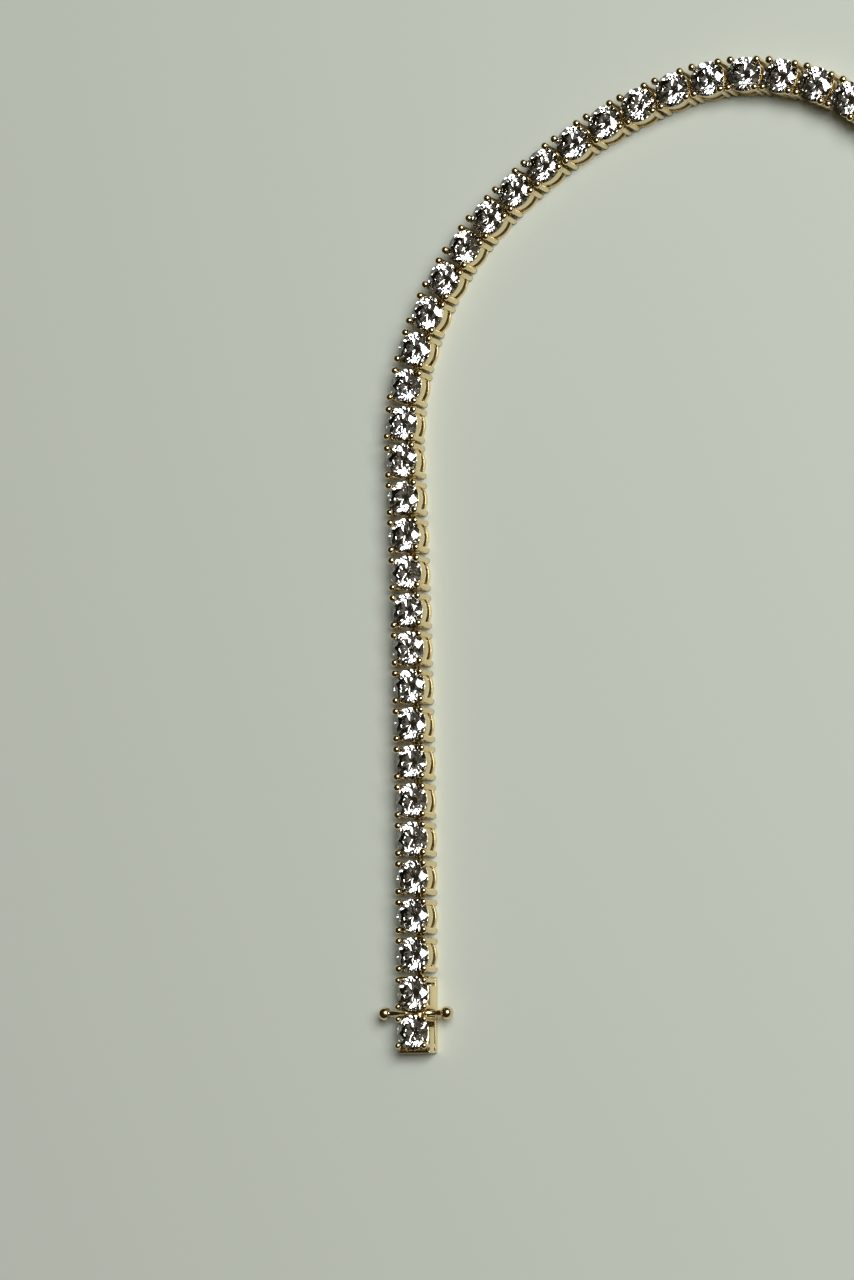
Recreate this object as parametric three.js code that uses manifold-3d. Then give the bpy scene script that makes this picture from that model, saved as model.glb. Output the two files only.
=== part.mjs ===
// A tennis bracelet of round stones in four-prong settings, lying open on a flat surface.
//
// Millimetres, +Z up. The origin is at the middle of the underside of the clasp box. The strand
// leaves the clasp box along +Y and then bends to the right, one small turn at each hinge.
//
// Each piece is drawn in its own frame: +X points along the strand, away from the free end,
// +Y across it, and Z = 0 is the surface that the strand lies on.

import * as THREE from "three";
import { mergeVertices } from "three/addons/utils/BufferGeometryUtils.js";
import Module from "manifold-3d";

const wasm = await Module();
wasm.setup();

// Strand
const PITCH = 4.4; // from one stone to the next
const LINK_COUNT = 38; // hinged links, besides the two stones on the clasp box

// Stones: eight-sided brilliants, measured across opposite corners
const STONE_WIDTH = 4.0;
const TABLE_WIDTH = 2.28;
const CULET_HEIGHT = 0.84;
const GIRDLE_HEIGHT = 2.6;
const TABLE_HEIGHT = 3.24;

// Setting: a square cage with cut corners, open windows and a prong at each corner
const CAGE_WIDTH = 3.9;
const CAGE_WALL = 0.32;
const CORNER_CUT = 0.2;
const BAND_TOP = 2.35;
const WINDOW_SILL = 0.5;
const SIDE_WINDOW_TOP = 1.1;
const HINGE_WINDOW_TOP = 1.45; // in the walls towards the neighbouring links
const WINDOW_WIDTH = 2.56;
const SEAT_DEPTH = 0.23; // how far below the band's top the stone meets the inside of the wall

// Prongs
const PRONG_INSET = 0.35; // from the outer face of the cage to the middle of the prong
const PRONG_RADIUS = 0.34;
const BEAD_RADIUS = 0.41;
const BEAD_HEIGHT = 2.95;
const PRONG_TIP_RADIUS = 0.24;
const PRONG_TOP = 3.4;
const PRONG_SIDES = 5;

// Hinge between two links: an eye at the back of each goes round a pin at the front of the next
const PIN_RADIUS = 0.16;
const PIN_HEIGHT = 0.8;
const PIN_SIDES = 5;
const HINGE_CLEARANCE = 0.14;
const EYE_RING = 0.2; // metal round the hole of the eye
const EYE_THICKNESS = 0.8;
const EYE_SIDES = 6;
const EYE_ROOT_LOW = 0.12; // lower and upper edge of the plate where it meets the wall
const EYE_ROOT_HIGH = 0.5;

// Clasp box under the first two stones
const BOX_FLOOR = 0.3;
const BOX_TOP = 2.25;
const BOX_END_ROOM = 0.35; // from the edge of the last stone to the end of the box
const BOX_PRONG_RADIUS = 0.3;
const BOX_BEAD_RADIUS = 0.38;
const BOX_PRONG_ACROSS = 1.64; // from the middle line of the box
const BOX_PRONG_ALONG = 1.5; // from the middle of its stone
const BOX_GIRDLE = 0.08; // thickness of the stone's edge
const TONGUE_SLOT_WIDTH = 2.3;
const TONGUE_SLOT_TOP = 1.5;
const SIDE_RAIL = 0.65; // height of the rail below the side plates
const PLATE_LENGTH = 2.65; // side plate beside each stone
const FAR_PLATE_START = 0.45; // from the middle of the box to the plate beside the second stone
const SIDE_SLOT_HEIGHT = 0.3; // slot below the plate at the free end

// Ball-ended push pins through the sides of the box
const PUSHER_HEIGHT = 1.75;
const STEM_RADIUS = 0.33;
const STEM_SIDES = 10;
const BALL_RADIUS = 0.75;
const BALL_REACH = 3.9; // from the middle line of the box to the middle of the ball
const HEAD_RADIUS = 0.5;
const HEAD_THICKNESS = 0.25;
const HEAD_REACH = 1.2; // outer face of the inner head

// Tongue at the far end: a fork with the hinge pin, and a folded spring blade
const FORK_LENGTH = 2.4;
const FORK_HEIGHT = 1.7;
const BLADE_WIDTH = 1.9;
const BLADE_THICKNESS = 0.3;
const BLADE_LENGTH = 5.2;
const BLADE_BOTTOM = 0.45;
const BLADE_RISE = 0.55; // how far the upper leaf springs up at its free end

// Route of the strand: how many hinges each stretch has, and the turn at each, in degrees
const ROUTE = [
  { hinges: 14, turn: 0.2 },
  { hinges: 7, turn: -7.2 },
  { hinges: 6, turn: -4.7 },
  { hinges: 6, turn: -9.8 },
  { hinges: 6, turn: -6.0 },
];

const EIGHTH_TURN_COS = Math.cos(Math.PI / 8);
const EIGHTH_TURN_TAN = Math.tan(Math.PI / 8);

const cageHalf = CAGE_WIDTH / 2;
const cageCorner = cageHalf - CORNER_CUT;
const innerHalf = cageHalf - CAGE_WALL;
const innerCorner = innerHalf - CORNER_CUT;
const stoneFlat = (STONE_WIDTH / 2) * EIGHTH_TURN_COS;
const tableFlat = (TABLE_WIDTH / 2) * EIGHTH_TURN_COS;
const pinPlace = cageHalf - CAGE_WALL / 2; // from the middle of a link to its hinge pin
const eyePlace = PITCH - pinPlace; // from the middle of a link to the hole of its eye
const eyeHole = PIN_RADIUS + HINGE_CLEARANCE;
const eyeOuter = eyeHole + EYE_RING;

// Gold and stone finishes
function gold() {
  return new THREE.MeshStandardMaterial({ color: 0xd9ae5f, roughness: 0.18, metalness: 1.0 });
}

function stone() {
  return new THREE.MeshStandardMaterial({ color: 0xf2f5f8, roughness: 0.05, metalness: 0.0 });
}

// A closed geometry as a solid that can be joined and cut
function solid(geometry) {
  const bare = geometry.clone();
  bare.deleteAttribute("normal");
  bare.deleteAttribute("uv");
  const merged = mergeVertices(bare, 1e-4);
  return new wasm.Manifold(
    new wasm.Mesh({
      numProp: 3,
      vertProperties: merged.attributes.position.array,
      triVerts: new Uint32Array(merged.index.array),
    }),
  );
}

// The solid back as a geometry
function geometryOf(body) {
  const mesh = body.getMesh();
  const geometry = new THREE.BufferGeometry();
  geometry.setAttribute("position", new THREE.BufferAttribute(mesh.vertProperties, 3));
  geometry.setIndex(new THREE.BufferAttribute(mesh.triVerts, 1));
  geometry.computeVertexNormals();
  return geometry;
}

// A block between two corners
function block(x0, x1, y0, y1, z0, z1) {
  const geometry = new THREE.BoxGeometry(x1 - x0, y1 - y0, z1 - z0);
  geometry.translate((x0 + x1) / 2, (y0 + y1) / 2, (z0 + z1) / 2);
  return solid(geometry);
}

// A body of eight-sided sections. Each section is a square of half width "half" whose straight
// sides reach to "corner" on both sides of the middle. A half width of 0 is a point.
function stacked(sections) {
  const positions = [];
  const triangles = [];
  const rings = sections.map(({ half, corner, z }) => {
    const outline =
      half === 0
        ? [[0, 0]]
        : [
            [half, -corner],
            [half, corner],
            [corner, half],
            [-corner, half],
            [-half, corner],
            [-half, -corner],
            [-corner, -half],
            [corner, -half],
          ];
    return outline.map(([x, y]) => positions.push(x, y, z) / 3 - 1);
  });
  for (let k = 0; k + 1 < rings.length; k += 1) {
    const low = rings[k];
    const high = rings[k + 1];
    for (let i = 0; i < 8; i += 1) {
      const j = (i + 1) % 8;
      if (low.length === 1) {
        triangles.push(low[0], high[j], high[i]);
      } else {
        triangles.push(low[i], low[j], high[j]);
        triangles.push(low[i], high[j], high[i]);
      }
    }
  }
  const top = rings[rings.length - 1];
  for (let i = 1; i < 7; i += 1) {
    triangles.push(top[0], top[i], top[i + 1]);
  }
  const geometry = new THREE.BufferGeometry();
  geometry.setAttribute("position", new THREE.Float32BufferAttribute(positions, 3));
  geometry.setIndex(triangles);
  return solid(geometry);
}

// An eight-sided section of the stone, "flat" being its half width across opposite sides
function stoneSection(flat, z) {
  return { half: flat, corner: flat * EIGHTH_TURN_TAN, z };
}

// Half width of the stone's lower cone at a height
function pavilionAt(z) {
  return (stoneFlat * (z - CULET_HEIGHT)) / (GIRDLE_HEIGHT - CULET_HEIGHT);
}

// A straight post that swells to a bead near the top, with one flat side turned to the stone
function prong(x, y, z0, radius, beadRadius, angle) {
  const profile = [
    new THREE.Vector2(0, z0),
    new THREE.Vector2(radius, z0),
    new THREE.Vector2(beadRadius, BEAD_HEIGHT),
    new THREE.Vector2(PRONG_TIP_RADIUS, PRONG_TOP),
    new THREE.Vector2(0, PRONG_TOP),
  ];
  const geometry = new THREE.LatheGeometry(profile, PRONG_SIDES, angle);
  geometry.rotateX(Math.PI / 2);
  geometry.translate(x, y, 0);
  return solid(geometry);
}

// The hinge pin, lying across the strand
function hingePin(x, halfLength) {
  const geometry = new THREE.CylinderGeometry(PIN_RADIUS, PIN_RADIUS, 2 * halfLength, PIN_SIDES);
  geometry.translate(x, 0, PIN_HEIGHT);
  return solid(geometry);
}

// The eye plate that reaches from a back wall at "root" to the next pin at "centre"
function eye(root, centre) {
  const plate = new THREE.Shape();
  const inside = root - CAGE_WALL / 2;
  plate.moveTo(inside, EYE_ROOT_LOW);
  for (let i = 0; i <= EYE_SIDES / 2; i += 1) {
    const turn = -Math.PI / 2 + (2 * Math.PI * i) / EYE_SIDES;
    plate.lineTo(centre + eyeOuter * Math.cos(turn), PIN_HEIGHT + eyeOuter * Math.sin(turn));
  }
  plate.lineTo(inside, EYE_ROOT_HIGH);
  plate.closePath();
  const hole = new THREE.Path();
  const corner = eyeHole / Math.cos(Math.PI / EYE_SIDES);
  for (let i = 0; i < EYE_SIDES; i += 1) {
    const turn = (2 * Math.PI * (i + 0.5)) / EYE_SIDES;
    const x = centre + corner * Math.cos(turn);
    const z = PIN_HEIGHT + corner * Math.sin(turn);
    if (i === 0) {
      hole.moveTo(x, z);
    } else {
      hole.lineTo(x, z);
    }
  }
  hole.closePath();
  plate.holes.push(hole);
  const geometry = new THREE.ExtrudeGeometry(plate, { depth: EYE_THICKNESS, bevelEnabled: false });
  geometry.rotateX(Math.PI / 2);
  geometry.translate(0, EYE_THICKNESS / 2, 0);
  return solid(geometry);
}

// One link: the stone seated in its cage, four prongs, the eye behind and the pin in front
function linkBody() {
  let body = stacked([
    { half: 0, corner: 0, z: CULET_HEIGHT },
    { half: innerHalf, corner: innerCorner, z: BAND_TOP - SEAT_DEPTH },
    { half: innerHalf, corner: innerCorner, z: 0 },
    { half: cageHalf, corner: cageCorner, z: 0 },
    { half: cageHalf, corner: cageCorner, z: BAND_TOP },
    stoneSection(pavilionAt(BAND_TOP), BAND_TOP),
    stoneSection(stoneFlat, GIRDLE_HEIGHT),
    stoneSection(tableFlat, TABLE_HEIGHT),
  ]);
  const window = WINDOW_WIDTH / 2;
  const past = cageHalf + CAGE_WALL;
  const inside = innerHalf - CAGE_WALL / 2;
  body = body.subtract(block(-window, window, inside, past, WINDOW_SILL, SIDE_WINDOW_TOP));
  body = body.subtract(block(-window, window, -past, -inside, WINDOW_SILL, SIDE_WINDOW_TOP));
  body = body.subtract(block(inside, past, -window, window, WINDOW_SILL, HINGE_WINDOW_TOP));
  body = body.subtract(block(-past, -inside, -window, window, -1, HINGE_WINDOW_TOP));
  const place = cageHalf - PRONG_INSET;
  const foot = BAND_TOP - SEAT_DEPTH / 2;
  for (const sx of [-1, 1]) {
    for (const sy of [-1, 1]) {
      const turn = Math.atan2(sx, -sy);
      body = body.add(prong(sx * place, sy * place, foot, PRONG_RADIUS, BEAD_RADIUS, turn));
    }
  }
  body = body.add(eye(cageHalf, eyePlace));
  body = body.add(hingePin(-pinPlace, window + CAGE_WALL / 4));
  return body;
}

const boxBack = PITCH / 2 + cageHalf; // from the middle of the clasp box to its back wall
const boxEnd = PITCH / 2 + STONE_WIDTH / 2 + BOX_END_ROOM; // and to its free end

// The clasp box: a floor, side walls round both stones, slots, prongs and the first eye
function claspBoxBody() {
  const outline = new THREE.Shape();
  outline.moveTo(boxBack, -cageCorner);
  outline.lineTo(boxBack, cageCorner);
  outline.lineTo(boxBack - CORNER_CUT, cageHalf);
  outline.lineTo(-boxEnd + CORNER_CUT, cageHalf);
  outline.lineTo(-boxEnd, cageCorner);
  outline.lineTo(-boxEnd, -cageCorner);
  outline.lineTo(-boxEnd + CORNER_CUT, -cageHalf);
  outline.lineTo(boxBack - CORNER_CUT, -cageHalf);
  outline.closePath();
  let body = solid(new THREE.ExtrudeGeometry(outline, { depth: BOX_TOP, bevelEnabled: false }));
  const over = BOX_TOP + 1;
  const past = cageHalf + CAGE_WALL;
  const endWall = -boxEnd + CAGE_WALL;
  const slot = TONGUE_SLOT_WIDTH / 2;
  const plateEnd = FAR_PLATE_START + PLATE_LENGTH;
  const nearPlate = endWall + PLATE_LENGTH;
  const slotTop = SIDE_RAIL + SIDE_SLOT_HEIGHT;
  const room = boxBack - CAGE_WALL;
  body = body.subtract(block(endWall, room, -innerHalf, innerHalf, BOX_FLOOR, over));
  body = body.subtract(block(nearPlate, FAR_PLATE_START, -past, past, SIDE_RAIL, over));
  body = body.subtract(block(plateEnd, room, -past, past, SIDE_RAIL, over));
  body = body.subtract(block(endWall, nearPlate + 1, -past, past, SIDE_RAIL, slotTop));
  body = body.subtract(block(-boxEnd - 1, endWall + 1, -slot, slot, BOX_FLOOR, TONGUE_SLOT_TOP));
  for (const centre of [-PITCH / 2, PITCH / 2]) {
    for (const sx of [-1, 1]) {
      for (const sy of [-1, 1]) {
        const x = centre + sx * BOX_PRONG_ALONG;
        const y = sy * BOX_PRONG_ACROSS;
        const turn = Math.atan2(sx, -sy);
        const foot = BOX_FLOOR / 2;
        body = body.add(prong(x, y, foot, BOX_PRONG_RADIUS, BOX_BEAD_RADIUS, turn));
      }
    }
  }
  return body.add(eye(boxBack, PITCH / 2 + eyePlace));
}

// A loose stone on the clasp box
function claspStoneBody() {
  return stacked([
    { half: 0, corner: 0, z: CULET_HEIGHT },
    stoneSection(stoneFlat, GIRDLE_HEIGHT),
    stoneSection(stoneFlat, GIRDLE_HEIGHT + BOX_GIRDLE),
    stoneSection(tableFlat, TABLE_HEIGHT),
  ]);
}

// A push pin: inner head, stem and ball, turned about the Y axis
function pusherBody() {
  const headInner = HEAD_REACH - HEAD_THICKNESS;
  const neck = BALL_REACH - Math.sqrt(BALL_RADIUS ** 2 - STEM_RADIUS ** 2);
  const profile = [
    new THREE.Vector2(0, headInner),
    new THREE.Vector2(HEAD_RADIUS, headInner),
    new THREE.Vector2(HEAD_RADIUS, HEAD_REACH),
    new THREE.Vector2(STEM_RADIUS, HEAD_REACH),
    new THREE.Vector2(STEM_RADIUS, neck),
  ];
  const start = Math.asin(STEM_RADIUS / BALL_RADIUS);
  const steps = 6;
  for (let i = 1; i < steps; i += 1) {
    const turn = start + ((Math.PI - start) * i) / steps;
    const radius = BALL_RADIUS * Math.sin(turn);
    profile.push(new THREE.Vector2(radius, BALL_REACH - BALL_RADIUS * Math.cos(turn)));
  }
  profile.push(new THREE.Vector2(0, BALL_REACH + BALL_RADIUS));
  const geometry = new THREE.LatheGeometry(profile, STEM_SIDES);
  return solid(geometry);
}

// The tongue: a fork that carries the last pin, and a blade folded back on itself
function tongueBody() {
  const window = WINDOW_WIDTH / 2;
  const back = -cageHalf + FORK_LENGTH;
  const front = -pinPlace + eyeOuter + HINGE_CLEARANCE;
  let body = block(-cageHalf, back, -cageCorner, cageCorner, 0, FORK_HEIGHT);
  body = body.subtract(block(-cageHalf - 1, front, -window, window, -1, FORK_HEIGHT + 1));
  body = body.add(hingePin(-pinPlace, window + CAGE_WALL / 4));
  const inside = back - CAGE_WALL / 2;
  const tip = back + BLADE_LENGTH;
  const under = BLADE_BOTTOM + BLADE_THICKNESS;
  const blade = new THREE.Shape();
  blade.moveTo(inside, BLADE_BOTTOM);
  blade.lineTo(tip, BLADE_BOTTOM);
  blade.lineTo(tip, under + BLADE_THICKNESS);
  blade.lineTo(back + 2 * BLADE_THICKNESS, under + BLADE_THICKNESS + BLADE_RISE);
  blade.lineTo(back + 2 * BLADE_THICKNESS, under + BLADE_RISE);
  blade.lineTo(tip - BLADE_THICKNESS, under + 0.1);
  blade.lineTo(tip - BLADE_THICKNESS, under);
  blade.lineTo(inside, under);
  blade.closePath();
  const leaf = new THREE.ExtrudeGeometry(blade, { depth: BLADE_WIDTH, bevelEnabled: false });
  leaf.rotateX(Math.PI / 2);
  leaf.translate(0, BLADE_WIDTH / 2, 0);
  return body.add(solid(leaf));
}

function piece(name, geometry, material) {
  const mesh = new THREE.Mesh(geometry, material);
  mesh.name = name;
  return mesh;
}

// Stand a piece at a point of the strand, its own +X turned to the strand's heading in degrees
function place(mesh, x, y, heading) {
  mesh.position.set(x, y, 0);
  mesh.rotation.z = THREE.MathUtils.degToRad(heading);
  return mesh;
}

const bracelet = new THREE.Group();
const STRAIGHT = 90; // heading of the clasp box

bracelet.add(place(piece("clasp_box", geometryOf(claspBoxBody()), gold()), 0, 0, STRAIGHT));
const claspStone = geometryOf(claspStoneBody());
bracelet.add(place(piece("clasp_stone_1", claspStone, stone()), 0, -PITCH / 2, STRAIGHT));
bracelet.add(place(piece("clasp_stone_2", claspStone, stone()), 0, PITCH / 2, STRAIGHT));

const pusher = geometryOf(pusherBody());
for (const [name, heading] of [
  ["pusher_left", STRAIGHT],
  ["pusher_right", STRAIGHT + 180],
]) {
  const mesh = place(piece(name, pusher, gold()), 0, 0, heading);
  mesh.position.z = PUSHER_HEIGHT;
  bracelet.add(mesh);
}

// Walk along the strand, turning at each hinge pin
const link = geometryOf(linkBody());
const turns = ROUTE.flatMap(({ hinges, turn }) => Array(hinges).fill(turn));
let heading = STRAIGHT;
let x = 0;
let y = PITCH / 2;
for (let i = 0; i <= LINK_COUNT; i += 1) {
  const before = THREE.MathUtils.degToRad(heading);
  x += eyePlace * Math.cos(before);
  y += eyePlace * Math.sin(before);
  heading += turns[Math.min(i, turns.length - 1)];
  const after = THREE.MathUtils.degToRad(heading);
  x += pinPlace * Math.cos(after);
  y += pinPlace * Math.sin(after);
  if (i < LINK_COUNT) {
    const name = `link_${String(i + 1).padStart(2, "0")}`;
    bracelet.add(place(piece(name, link, gold()), x, y, heading));
  } else {
    bracelet.add(place(piece("clasp_tongue", geometryOf(tongueBody()), gold()), x, y, heading));
  }
}

export default bracelet;
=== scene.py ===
# %% [markdown]
# # A tennis bracelet of round brilliants
#
# A tennis bracelet is one row of small hinged settings, each holding a round stone between four
# prongs. Here it lies open on a pale surface, with its box clasp at the near end. The solid model
# of the bracelet is loaded first and stays fixed: it says where every link is. The cells after it
# build what the eye sees, such as the bead-tipped prongs, the facets of the stones and the polish
# of the gold, and each new piece takes the place of one solid.

# %% Load the solid model
import math

import bpy
import numpy as np
from mathutils import Matrix, Vector


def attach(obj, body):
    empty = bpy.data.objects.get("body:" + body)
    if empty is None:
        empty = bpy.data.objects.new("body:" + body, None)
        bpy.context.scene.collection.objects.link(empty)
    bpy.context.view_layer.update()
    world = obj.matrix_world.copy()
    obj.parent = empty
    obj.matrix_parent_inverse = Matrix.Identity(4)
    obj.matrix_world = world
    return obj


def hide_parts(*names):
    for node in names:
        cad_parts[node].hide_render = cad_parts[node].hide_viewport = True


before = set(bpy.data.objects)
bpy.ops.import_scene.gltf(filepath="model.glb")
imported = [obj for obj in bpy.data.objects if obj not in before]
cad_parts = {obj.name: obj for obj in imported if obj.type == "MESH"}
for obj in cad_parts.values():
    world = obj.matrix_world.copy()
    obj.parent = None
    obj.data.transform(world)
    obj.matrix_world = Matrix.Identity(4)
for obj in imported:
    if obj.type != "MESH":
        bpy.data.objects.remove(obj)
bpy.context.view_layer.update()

# %% [markdown]
# ## The route of the strand
#
# Each link hangs on the pin of the next one, so the strand can be walked hinge by hinge: go to the
# hinge, turn a little, and go on to the next stone. Running sums do the whole walk at once. The
# first two stones sit on the clasp box, on the straight line through the origin.

# %% Places and headings of the links
MM = 0.001
PITCH = 4.4
PIN_PLACE = 1.79  # from the middle of a link forward to its hinge pin
EYE_PLACE = PITCH - PIN_PLACE  # from the middle of a link back to the eye
LINKS = 38
HINGES = np.array([14, 7, 6, 6, 6])
TURNS = np.array([0.2, -7.2, -4.7, -9.8, -6.0])  # degrees at each hinge of the stretch

headings = np.radians(90 + np.cumsum(np.repeat(TURNS, HINGES)))
before = np.concatenate([[math.pi / 2], headings[:-1]])
steps = EYE_PLACE * np.exp(1j * before) + PIN_PLACE * np.exp(1j * headings)
route = 1j * PITCH / 2 + np.cumsum(steps)
print("strand:", LINKS, "links, far end at", np.round([route[-1].real, route[-1].imag], 1), "mm")

# %% [markdown]
# ## The camera
#
# The photograph looks down on the strand, leaning to the right and a little to the near side, so
# the settings show their right walls. A long lens from 45 cm keeps the stones' spacing even. The
# lens is worked out from the scale: how many pixels of the tall picture one millimetre covers.

# %% Camera
LEAN_RIGHT = 25.0
LEAN_NEAR = 8.0
DISTANCE = 0.45
PIXELS_PER_MM = 8.713
PICTURE_HEIGHT = 1280
TARGET = Vector((1.98, 42.6, 3.0)) * MM

lean_x, lean_y = math.tan(math.radians(LEAN_RIGHT)), -math.tan(math.radians(LEAN_NEAR))
toward = Vector((lean_x, lean_y, 1)).normalized()
upward = (Vector((0, 1, 0)) - toward * toward.y).normalized()
camera_data = bpy.data.cameras.new("camera")
camera_data.sensor_fit = "VERTICAL"
camera_data.sensor_height = 36.0
camera_data.lens = PIXELS_PER_MM * 1000 * DISTANCE * 36.0 / PICTURE_HEIGHT
camera_data.clip_start = 0.01
camera = bpy.data.objects.new("camera", camera_data)
axes = Matrix((upward.cross(toward), upward, toward)).transposed()
camera.matrix_world = Matrix.Translation(TARGET + toward * DISTANCE) @ axes.to_4x4()
bpy.context.collection.objects.link(camera)
bpy.context.scene.camera = camera
print("lens", round(camera_data.lens, 1), "mm")

# %% [markdown]
# ## From arrays to meshes
#
# Every form below is a grid of points worked out as one array: rings of points, one ring after
# the other. Neighbouring points make a four-sided face. An open tube gets a face at each end, so
# that the form is closed, and the enclosed volume says whether its faces point outwards.

# %% Grids, closed shells and mesh objects
def skin(grid, loop=False):
    """Faces over an (m, n, 3) grid whose rows are rings. With 'loop' the last ring meets the first."""
    m, n, _ = grid.shape
    row, col = np.meshgrid(np.arange(m if loop else m - 1), np.arange(n), indexing="ij")
    row2, col2 = (row + 1) % m, (col + 1) % n
    corners = [row * n + col, row * n + col2, row2 * n + col2, row2 * n + col]
    faces = np.stack(corners, -1).reshape(-1, 4).tolist()
    if not loop:
        faces += [list(range(n))[::-1], list(range((m - 1) * n, m * n))]
    points = grid.reshape(-1, 3)
    a, b, c, d = (points[k.ravel()] for k in corners)
    volume = np.sum(a * np.cross(b, c)) + np.sum(a * np.cross(c, d))
    if volume < 0:
        faces = [face[::-1] for face in faces]
    return points, faces


def joined(shells):
    """Several (points, faces) shells as one."""
    starts = np.cumsum([0] + [len(points) for points, _ in shells])
    faces = [[k + start for k in face] for start, (_, part) in zip(starts, shells) for face in part]
    return np.vstack([points for points, _ in shells]), faces


def placed(points, place=0j, heading=math.pi / 2):
    """Points in mm turned to the heading about Z and moved to the place, in metres."""
    turned = (points[:, 0] + 1j * points[:, 1]) * np.exp(1j * heading) + place
    return np.column_stack([turned.real, turned.imag, points[:, 2]]) * MM


def mesh_piece(name, points, faces, material, body, nodes, smooth=True):
    """A mesh object at the origin that rides on a body and stands for solid pieces."""
    mesh = bpy.data.meshes.new(name)
    mesh.from_pydata(points.tolist(), [], faces)
    mesh.materials.append(material)
    mesh.polygons.foreach_set("use_smooth", np.full(len(mesh.polygons), smooth))
    mesh.update()
    piece = bpy.data.objects.new(name, mesh)
    bpy.context.collection.objects.link(piece)
    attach(piece, body)
    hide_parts(*nodes)
    return piece


# %% [markdown]
# ## Polished yellow gold
#
# The settings are cast in 14 carat yellow gold, tumbled and polished. A metal has no colour of its
# own under the reflection: its reflection is coloured. The alloy's copper and silver leave small
# drifts of tone, the polish leaves hair-fine scratches a few hundredths of a millimetre apart,
# drawn here about four times as coarse so that they show, and the roughness varies a little where
# the polishing wheel reached less.

# %% Colours and nodes
def linear(code):
    """An sRGB hex colour such as '#e6bf74' as linear red, green, blue and alpha."""
    srgb = np.array([int(code[k : k + 2], 16) for k in (1, 3, 5)]) / 255
    return (*np.where(srgb <= 0.04045, srgb / 12.92, ((srgb + 0.055) / 1.055) ** 2.4), 1.0)


def add_node(tree, kind, settings=None, **links):
    """A node with its settings and input values. A link is given as (node, output)."""
    node = tree.nodes.new(kind)
    for key, value in (settings or {}).items():
        setattr(node, key, value)
    for key, value in links.items():
        numbered = key.startswith("in") and key[2:].isdigit()
        socket = node.inputs[int(key[2:]) if numbered else key.replace("_", " ")]
        if isinstance(value, tuple) and isinstance(value[0], bpy.types.Node):
            tree.links.new(value[0].outputs[value[1]], socket)
        else:
            socket.default_value = value
    return node


def finish_material(name):
    """An empty node material with its Principled shader and the object's own coordinates."""
    material = bpy.data.materials.new(name)
    material.use_nodes = True
    tree = material.node_tree
    shader = tree.nodes["Principled BSDF"]
    place = add_node(tree, "ShaderNodeTexCoord")
    return material, tree, shader, place


# %% Gold
gold, tree, shader, place = finish_material("polished_14k_yellow_gold")
shader.inputs["Metallic"].default_value = 1.0
tone = add_node(tree, "ShaderNodeTexNoise", Vector=(place, "Object"), Scale=450.0, Detail=2.0)
mix = add_node(tree, "ShaderNodeMix", {"data_type": "RGBA"}, in0=(tone, "Fac"))
mix.inputs[6].default_value = linear("#e6cf9c")
mix.inputs[7].default_value = linear("#f1e0bc")
tree.links.new(mix.outputs[2], shader.inputs["Base Color"])
wear = add_node(tree, "ShaderNodeTexNoise", Vector=(place, "Object"), Scale=900.0, Detail=3.0)
polish = add_node(tree, "ShaderNodeMapRange", Value=(wear, "Fac"), To_Min=0.07, To_Max=0.2)
tree.links.new(polish.outputs["Result"], shader.inputs["Roughness"])
stretch = add_node(tree, "ShaderNodeMapping", Vector=(place, "Object"), Scale=(9000.0, 1500.0, 4000.0))
scratch = add_node(tree, "ShaderNodeTexNoise", Vector=(stretch, "Vector"), Scale=1.0, Detail=2.0)
bump = add_node(tree, "ShaderNodeBump", Strength=0.06, Distance=0.00002, Height=(scratch, "Fac"))
tree.links.new(bump.outputs["Normal"], shader.inputs["Normal"])
print("gold:", len(tree.nodes), "nodes")

# %% [markdown]
# ## Colourless brilliants
#
# A brilliant is clear through and through. Its sparkle is not in the material but in the facets:
# light enters through the crown, is thrown back by the lower facets and leaves as patches of white
# and dark. The high refractive index of 2.42 does that, so the shader is plain clear glass with
# that index and a trace of body tint, a little different from stone to stone.

# %% Stone
brilliant, tree, shader, place = finish_material("cut_and_polished_colourless_stone")
shader.inputs["Roughness"].default_value = 0.0
shader.inputs["IOR"].default_value = 2.42
shader.inputs["Transmission Weight"].default_value = 1.0
tint = add_node(tree, "ShaderNodeTexNoise", Vector=(place, "Object"), Scale=140.0, Detail=0.0)
mix = add_node(tree, "ShaderNodeMix", {"data_type": "RGBA"}, in0=(tint, "Fac"))
mix.inputs[6].default_value = linear("#fbf7ee")
mix.inputs[7].default_value = linear("#eef4ff")
tree.links.new(mix.outputs[2], shader.inputs["Base Color"])
print("stone:", len(tree.nodes), "nodes, index", round(shader.inputs["IOR"].default_value, 2))

# %% [markdown]
# ## One setting
#
# A four-prong setting is a little cage. Four straight wires stand at the corners and end in
# polished beads that hold the stone's edge. Between them runs a tall upper band, an open window
# and a lower rail, both bowed outwards. The lower rail is open at the front, where the eye of the
# next setting comes in and closes round a cross pin.
#
# Band and rail are a rounded section carried round a plan between a circle and a square. The wires
# are rings of a changing radius stacked upwards.

# %% Bands, wires and hinge
BAND_HALF = 1.96
BAND_WALL = 0.3
WIRE_PLACE = 1.6
WIRE_RADIUS = 0.37
BEAD_RADIUS = 0.46
BEAD_HEIGHT = 2.98
BEAD_RISE = 0.42  # half the bead's height, a little less than its radius
PIN_RADIUS = 0.16
PIN_HEIGHT = 0.8
PIN_HALF = 1.5


def rounded_section(count, power=6.0):
    """A closed curve in a square from -1 to 1: the cosine and sine, each raised to 2 / power."""
    t = (np.arange(count) + 0.5) * 2 * np.pi / count
    wave = np.stack([np.cos(t), np.sin(t)], 1)
    return np.sign(wave) * np.abs(wave) ** (2 / power)


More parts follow.
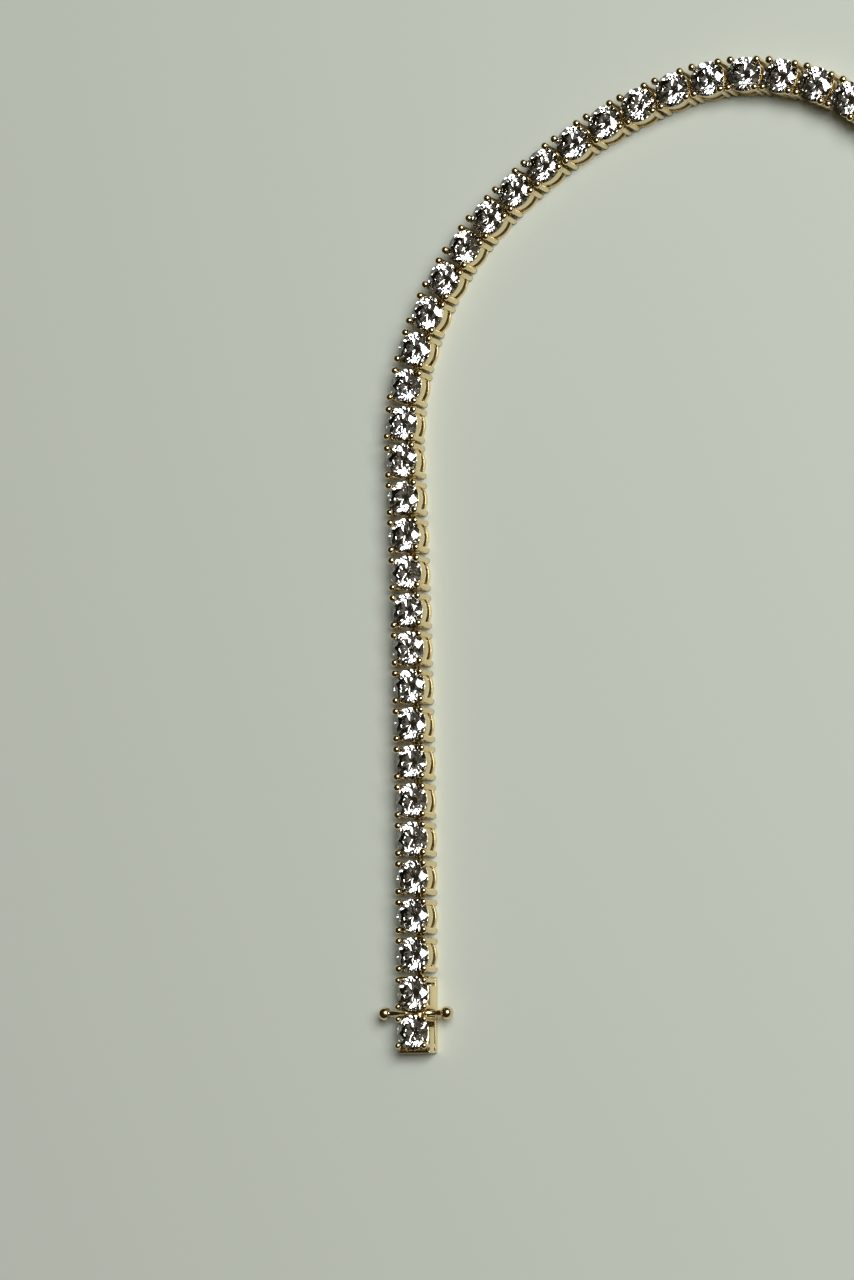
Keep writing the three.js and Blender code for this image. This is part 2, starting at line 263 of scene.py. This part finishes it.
def band(low, high, seat_slope, wall=BAND_WALL, first=0.0, last=2 * np.pi, steps=56, bow=0.05, power=6.0):
    """A rounded section carried round the plan |x|^p + |y|^p = constant, where p = 2.15 at the
    round sides and 4.65 at the flatter ends. The top slopes down inwards by 'seat_slope' to clear
    the stone, the outer face bows outwards by 'bow', and a higher 'power' makes sharper edges."""
    whole = last - first > 6.28
    angle = np.linspace(first, last, steps, endpoint=not whole)
    p = 2.15 + 2.5 * np.cos(angle) ** 4
    radius = BAND_HALF / (np.abs(np.cos(angle)) ** p + np.abs(np.sin(angle)) ** p) ** (1 / p)
    across, up = rounded_section(18, power).T
    inset = wall / 2 * (across - 1)
    share = (up + 1) / 2
    height = low + share * (high + seat_slope * inset - low)
    outward = inset + bow * (1 - up**2) * (across + 1) / 2 - bow
    reach = radius[:, None] + outward
    x, y = reach * np.cos(angle)[:, None], reach * np.sin(angle)[:, None]
    return skin(np.stack([x, y, np.broadcast_to(height, x.shape)], -1), loop=whole)


def wire(x, y, low=0.0, radius=WIRE_RADIUS, bead=BEAD_RADIUS, lean=0.03):
    """Rings from a rounded foot up a straight wire to a bead, an ellipse of revolution. Above the
    band the wire leans towards the stone by 'lean', along a smooth step."""
    rise = np.linspace(-0.72, 1.45, 12)
    stem_heights = low + np.array([0.0, 0.02, 0.07, 0.5, 1.2, 1.9, 2.45])
    stem_radii = radius * np.array([0.7, 0.86, 1.0, 1.0, 1.0, 1.0, 0.98])
    heights = np.concatenate([stem_heights, BEAD_HEIGHT + BEAD_RISE * np.sin(rise)])
    radii = np.concatenate([stem_radii, bead * np.cos(rise)])
    step = np.clip((heights - 2.2) / 0.7, 0, 1)
    inward = lean * step**2 * (3 - 2 * step) / math.hypot(x, y)
    turn = np.arange(18) * 2 * np.pi / 18
    grid_x = x * (1 - inward)[:, None] + radii[:, None] * np.cos(turn)
    grid_y = y * (1 - inward)[:, None] + radii[:, None] * np.sin(turn)
    return skin(np.stack([grid_x, grid_y, np.broadcast_to(heights[:, None], grid_x.shape)], -1))


def slab(x, y, z, corner=0.1, edge=0.05):
    """A block with rounded upright corners and rounded rims: its outline, drawn in along a quarter
    circle near the top and the bottom. x, y and z are (low, high)."""
    sweep = np.radians([0, 30, 60, 90])
    drawn_in = np.concatenate([edge * (1 - np.sin(sweep)), edge * (1 - np.cos(sweep))])
    height = np.concatenate([z[0] + edge * (1 - np.cos(sweep)), z[1] - edge * (1 - np.sin(sweep))])
    turn = np.radians(np.concatenate([quarter + np.linspace(0, 90, 5) for quarter in (0, 90, 180, 270)]))
    side_x = np.repeat([x[1] - corner, x[0] + corner, x[0] + corner, x[1] - corner], 5)
    side_y = np.repeat([y[1] - corner, y[1] - corner, y[0] + corner, y[0] + corner], 5)
    reach = corner - drawn_in[:, None]
    grid_x, grid_y = side_x + reach * np.cos(turn), side_y + reach * np.sin(turn)
    return skin(np.stack([grid_x, grid_y, np.broadcast_to(height[:, None], grid_x.shape)], -1))


def unit(vectors):
    """Each vector at length one."""
    return vectors / np.linalg.norm(vectors, axis=-1, keepdims=True)


def ledge(first, last, side, low):
    """A side plate of the clasp box between two places along it. Its section is a wall whose
    shoulder is a quarter of an ellipse, with softened corners, and it draws in at both ends."""
    turn = np.linspace(0, math.pi / 2, 9)
    shoulder = np.column_stack([1.5 + 0.45 * np.cos(turn), 1.88 + 0.4 * np.sin(turn)])
    corners = np.vstack([[(1.66, low), (1.95, low)], shoulder, [(1.5, 2.1), (1.66, 1.9)]])
    t = np.linspace(0, 1, 4)[None, :, None]
    begin = corners + 0.03 * unit(np.roll(corners, 1, 0) - corners)
    end = corners + 0.03 * unit(np.roll(corners, -1, 0) - corners)
    soft = (1 - t) ** 2 * begin[:, None] + 2 * t * (1 - t) * corners[:, None] + t**2 * end[:, None]
    outline = soft.reshape(-1, 2)
    x = np.array([first, first + 0.015, first + 0.05, last - 0.05, last - 0.015, last])
    drawn_in = np.array([0.05, 0.015, 0.0, 0.0, 0.015, 0.05])[:, None, None]
    section = outline - drawn_in * unit(outline - outline.mean(0))
    grid_x = np.broadcast_to(x[:, None], section.shape[:2])
    return skin(np.stack([grid_x, side * section[..., 0], section[..., 1]], -1))


def eye_plate(wall):
    """The hinge's eye: a rounded section carried round the pin's axis, and a short neck to the wall."""
    turn = np.arange(28) * 2 * np.pi / 28
    across, up = rounded_section(12).T
    reach = 0.4 + 0.1 * across
    x = wall + 0.66 + reach * np.cos(turn)[:, None]
    z = PIN_HEIGHT + reach * np.sin(turn)[:, None]
    ring = skin(np.stack([x, np.broadcast_to(0.4 * up, x.shape), z], -1), loop=True)
    return [ring, slab((wall - 0.15, wall + 0.34), (-0.38, 0.38), (0.14, 0.56), edge=0.06)]


def cross_pin(x):
    """A round pin across the strand: two circles, one at each end."""
    turn = np.arange(14) * 2 * np.pi / 14
    y = np.array([-PIN_HALF, PIN_HALF])[:, None]
    along = x + PIN_RADIUS * np.cos(turn) + 0 * y
    height = PIN_HEIGHT + PIN_RADIUS * np.sin(turn) + 0 * y
    return skin(np.stack([along, y + 0 * turn, height], -1))


wires = [wire(sx * WIRE_PLACE, sy * WIRE_PLACE) for sx in (-1, 1) for sy in (-1, 1)]
upper = band(1.08, 2.40, 0.93)
RAIL_END = np.radians(137)  # the rail stops short of the front, where the next eye comes in
lower = band(0.0, 0.52, 0.0, 0.6, -RAIL_END, RAIL_END, 44, bow=0.0, power=16.0)
setting = joined([upper, lower, cross_pin(-PIN_PLACE), *wires, *eye_plate(1.95)])
print("setting:", len(setting[1]), "faces")

# %% Settings along the strand
for k in range(LINKS):
    spot = placed(setting[0], route[k], headings[k])
    node = f"link_{k + 1:02d}"
    mesh_piece(f"setting_{k + 1:02d}", spot, setting[1], gold, "bracelet", [node])
print("settings:", LINKS)

# %% [markdown]
# ## The round brilliant cut
#
# The cut has 57 facets: a table, 8 stars, 8 kites and 16 upper halves on the crown, and 16 lower
# halves and 8 mains below. The kites lie at 34.5 degrees and the mains at 40.8 degrees, and the
# points where three facets meet follow from those two angles. Every stone is turned and tipped a
# little by its setter's hand, so no two show the same pattern of light.

# %% Brilliants
STONE_RADIUS = 2.0
TABLE_SHARE = 0.57
STAR_REACH = 0.763
LOWER_REACH = 0.23
GIRDLE_TOP = 2.645
GIRDLE_BOTTOM = 2.565
CROWN_SLOPE = math.tan(math.radians(34.5))
MAIN_SLOPE = math.tan(math.radians(40.8))


def cut_ring(share, count, half_step, z):
    """Points on a circle, a share of the stone's radius, starting half a step round if asked."""
    turn = (np.arange(count) + half_step / 2) * 2 * np.pi / count
    radius = STONE_RADIUS * share
    return np.column_stack([radius * np.cos(turn), radius * np.sin(turn), np.full(count, z)])


def round_brilliant():
    """The facets' corners, ring by ring from the table to the culet, and the 57 facets and 16
    girdle faces between them. Height on a kite or main falls with the distance along its own line."""
    eighth = math.cos(math.pi / 8)
    top = GIRDLE_TOP + STONE_RADIUS * (1 - TABLE_SHARE) * CROWN_SLOPE
    star = GIRDLE_TOP + STONE_RADIUS * (1 - STAR_REACH * eighth) * CROWN_SLOPE
    culet = GIRDLE_BOTTOM - STONE_RADIUS * MAIN_SLOPE
    low = culet + STONE_RADIUS * LOWER_REACH * eighth * MAIN_SLOPE
    points = np.vstack(
        [
            cut_ring(TABLE_SHARE, 8, 0, top),
            cut_ring(STAR_REACH, 8, 1, star),
            cut_ring(1.0, 16, 0, GIRDLE_TOP),
            cut_ring(1.0, 16, 0, GIRDLE_BOTTOM),
            cut_ring(LOWER_REACH, 8, 1, low),
            [[0, 0, culet]],
        ]
    )
    k = np.arange(8)
    table, stars, upper, lower, deep = k, 8 + k, 16, 32, 48 + k
    after, first, middle, last = (k + 1) % 8, 2 * k, 2 * k + 1, (2 * k + 2) % 16
    groups = [
        [list(range(8))],
        np.stack([table, stars, table[after]], 1).tolist(),
        np.stack([table, stars[k - 1], upper + first, stars], 1).tolist(),
        np.stack([stars, upper + first, upper + middle], 1).tolist(),
        np.stack([stars, upper + middle, upper + last], 1).tolist(),
        np.stack([upper + first, upper + middle, lower + middle, lower + first], 1).tolist(),
        np.stack([upper + middle, upper + last, lower + last, lower + middle], 1).tolist(),
        np.stack([deep, lower + first, lower + middle], 1).tolist(),
        np.stack([deep, lower + middle, lower + last], 1).tolist(),
        np.stack([np.full(8, 56), deep, lower + first, deep[k - 1]], 1).tolist(),
    ]
    middle_point = np.array([0, 0, GIRDLE_BOTTOM])
    faces = []
    for face in (face for group in groups for face in group):
        a, b, c = points[face[0]], points[face[1]], points[face[2]]
        outward = np.dot(np.cross(b - a, c - a), points[face].mean(0) - middle_point) > 0
        faces.append(face if outward else face[::-1])
    return points, faces


stone_points, stone_faces = round_brilliant()
hand = np.random.default_rng(11)


def set_stone(name, place, heading, nodes):
    """A brilliant turned by any angle and tipped by up to two degrees about its girdle."""
    turn, tip_x, tip_y = hand.uniform(0, np.pi / 4), *np.radians(hand.uniform(-2, 2, 2))
    pose = Matrix.Rotation(tip_x, 3, "X") @ Matrix.Rotation(tip_y, 3, "Y") @ Matrix.Rotation(turn, 3, "Z")
    level = np.array([0, 0, GIRDLE_TOP])
    tipped = (stone_points - level) @ np.array(pose).T + level
    spot = placed(tipped, place, heading)
    mesh_piece(name, spot, stone_faces, brilliant, "bracelet", nodes, smooth=False)


for k in range(LINKS):
    set_stone(f"stone_{k + 1:02d}", route[k], headings[k], [f"link_{k + 1:02d}"])
set_stone("clasp_brilliant_1", -1j * PITCH / 2, math.pi / 2, ["clasp_stone_1"])
set_stone("clasp_brilliant_2", 1j * PITCH / 2, math.pi / 2, ["clasp_stone_2"])
print("brilliants:", LINKS + 2, "with", len(stone_faces), "faces each")

# %% [markdown]
# ## The clasp box
#
# The last two stones share one stiff box, into which the tongue at the far end snaps. Its sides
# are bright plates with rounded shoulders beside each stone, with a thin rail below and a slot
# between them, and they stop between the stones to let the push pins through. The plates are one
# section drawn straight along the box, and the rest is slabs with rounded rims, each a little
# inside the next so that no two faces lie in one plane.

# %% Clasp box
BOX_WIRE_ALONG = 1.5
BOX_WIRE_ACROSS = 1.64

box_parts = [
    slab((-4.53, 4.13), (-1.92, 1.92), (0.0, 0.3), corner=0.2),
    slab((-4.55, -4.23), (-1.93, 1.93), (1.5, 2.27), corner=0.16, edge=0.1),
    slab((-4.54, -4.24), (-1.91, -1.2), (0.1, 1.7), corner=0.14),
    slab((-4.54, -4.24), (1.2, 1.91), (0.1, 1.7), corner=0.14),
    slab((3.83, 4.15), (-1.93, 1.93), (0.1, 2.25), corner=0.16),
    *eye_plate(4.15),
]
for side in (-1, 1):
    low, high = sorted((side * 1.66, side * 1.94))
    box_parts += [
        ledge(-4.5, -1.58, side, 0.95),
        ledge(0.45, 3.1, side, 0.6),
        slab((-4.52, 4.12), (low, high), (0.05, 0.65)),
    ]
for centre in (-PITCH / 2, PITCH / 2):
    box_parts += [
        wire(centre + sx * BOX_WIRE_ALONG, sy * BOX_WIRE_ACROSS, low=0.2, radius=0.3, bead=0.41, lean=0.0)
        for sx in (-1, 1)
        for sy in (-1, 1)
    ]
box_points, box_faces = joined(box_parts)
mesh_piece("clasp_box_shell", placed(box_points), box_faces, gold, "bracelet", ["clasp_box"])
print("clasp box:", len(box_faces), "faces")

# %% [markdown]
# ## The push pins
#
# Two pins with ball ends stand out of the box between its stones. Pressing both frees the tongue.
# Each is turned on a lathe: a profile of radius against reach, carried once round.

# %% Push pins
BALL_REACH = 3.9
BALL_RADIUS = 0.75
PUSHER_HEIGHT = 1.75


def push_pin(side):
    """An inner head, a straight stem and a ball, as radius against reach."""
    ball = np.linspace(math.pi - 0.47, 0.06, 16)
    stem_reach = [0.95, 0.97, 1.18, 1.2, 1.21, 3.0, 3.15]
    stem_radius = [0.44, 0.49, 0.49, 0.44, 0.35, 0.35, 0.35]
    reach = np.concatenate([stem_reach, BALL_REACH + BALL_RADIUS * np.cos(ball)])
    radius = np.concatenate([stem_radius, BALL_RADIUS * np.sin(ball)])
    turn = np.arange(32) * 2 * np.pi / 32
    across = radius[:, None] * np.cos(turn)
    out = np.broadcast_to(side * reach[:, None], across.shape)
    height = PUSHER_HEIGHT + radius[:, None] * np.sin(turn)
    return skin(np.stack([across, out, height], -1))


for name, side, body in (("pusher_left", 1, "left_push_pin"), ("pusher_right", -1, "right_push_pin")):
    points, faces = push_pin(side)
    mesh_piece(name + "_ball_pin", placed(points), faces, gold, body, [name])
    print(name, "reaches", round(float(abs(points[:, 1]).max()), 2), "mm from the middle of the box")

# %% [markdown]
# ## The tongue
#
# The far end carries the tongue that snaps into the box: a fork round the last pin and a strip of
# springy gold folded back on itself. The strip is a thin rounded section carried along the fold.

# %% Tongue
def folded_strip():
    """A flat section, 1.9 mm wide and 0.3 mm thick, carried out, round the fold and part of the way
    back, rising as it goes."""
    lower_leaf = np.column_stack([np.linspace(0.35, 5.35, 12), np.full(12, 0.6)])
    fold = np.radians(np.linspace(-80, 75, 9))
    bend = np.column_stack([5.38 + 0.26 * np.cos(fold), 0.86 + 0.26 * np.sin(fold)])
    upper_leaf = np.column_stack([np.linspace(5.3, 1.25, 12), np.linspace(1.13, 1.42, 12)])
    line = np.vstack([lower_leaf, bend, upper_leaf])
    along = np.gradient(line, axis=0)
    along /= np.linalg.norm(along, axis=1, keepdims=True)
    normal = np.column_stack([-along[:, 1], along[:, 0]])
    wide, thick = rounded_section(20, 8.0).T
    x = line[:, :1] + normal[:, :1] * 0.14 * thick
    z = line[:, 1:] + normal[:, 1:] * 0.14 * thick
    return skin(np.stack([x, np.broadcast_to(0.95 * wide, x.shape), z], -1))


tongue_parts = [
    slab((-1.88, -0.9), (1.28, 1.64), (0.0, 1.7)),
    slab((-1.88, -0.9), (-1.64, -1.28), (0.0, 1.7)),
    slab((-1.1, 0.5), (-1.64, 1.64), (0.0, 1.7)),
    cross_pin(-PIN_PLACE),
    folded_strip(),
]
tongue_points, tongue_faces = joined(tongue_parts)
spot = placed(tongue_points, route[LINKS], headings[LINKS])
mesh_piece("tongue_fork_and_blade", spot, tongue_faces, gold, "bracelet", ["clasp_tongue"])
print("tongue:", len(tongue_faces), "faces")

# %% [markdown]
# ## Surface and light
#
# Gold and cut stones show what is around them. In even light from all sides both look flat, so
# the room is dim and one soft window does most of the work. It stands up to the right and a little
# beyond the strand, close to the camera's own lean, so the beads and facets flash towards the
# viewer. A much larger and dimmer curtain behind it gives the polished walls something to mirror,
# and the pale surface throws light back up into them. The window is white and the curtain is
# cream, because a polished metal mixes its own colour with the colour of what it mirrors.

# %% Floor, window and room
floor_mesh = bpy.data.meshes.new("floor")
floor_mesh.from_pydata([(-3, -3, 0), (3, -3, 0), (3, 3, 0), (-3, 3, 0)], [], [(0, 1, 2, 3)])
floor = bpy.data.objects.new("floor", floor_mesh)
floor.location.z = -0.00003
bpy.context.collection.objects.link(floor)
paper, tree, shader, _ = finish_material("matte_pale_surface")
shader.inputs["Roughness"].default_value = 0.9
shader.inputs["Base Color"].default_value = linear("#e9efe6")
floor_mesh.materials.append(paper)
print("surface:", floor_mesh.name, "6 m square, just under the strand")


def soft_window(name, lean_x, lean_y, distance, width, height, power, colour):
    """A rectangular light aimed at the middle of the view from a leaning direction."""
    data = bpy.data.lights.new(name, "AREA")
    data.shape = "RECTANGLE"
    data.size, data.size_y = width, height
    data.energy = power
    data.color = linear(colour)[:3]
    away = Vector((math.tan(math.radians(lean_x)), math.tan(math.radians(lean_y)), 1)).normalized()
    lamp = bpy.data.objects.new(name, data)
    lamp.location = TARGET + away * distance
    lamp.rotation_euler = away.to_track_quat("Z", "Y").to_euler()
    bpy.context.collection.objects.link(lamp)


soft_window("window", 36, 16, 0.95, 0.56, 0.5, 7.0, "#fafcf9")
soft_window("curtain", 28, 14, 1.1, 1.6, 1.3, 1.1, "#f4ecdc")

world = bpy.data.worlds.new("room")
bpy.context.scene.world = world
world.use_nodes = True
tree = world.node_tree
room = tree.nodes["Background"]
room.inputs["Color"].default_value = linear("#84765a")
room.inputs["Strength"].default_value = 0.1
bpy.context.scene.view_settings.view_transform = "Standard"
print("lights:", [light.name for light in bpy.data.lights])
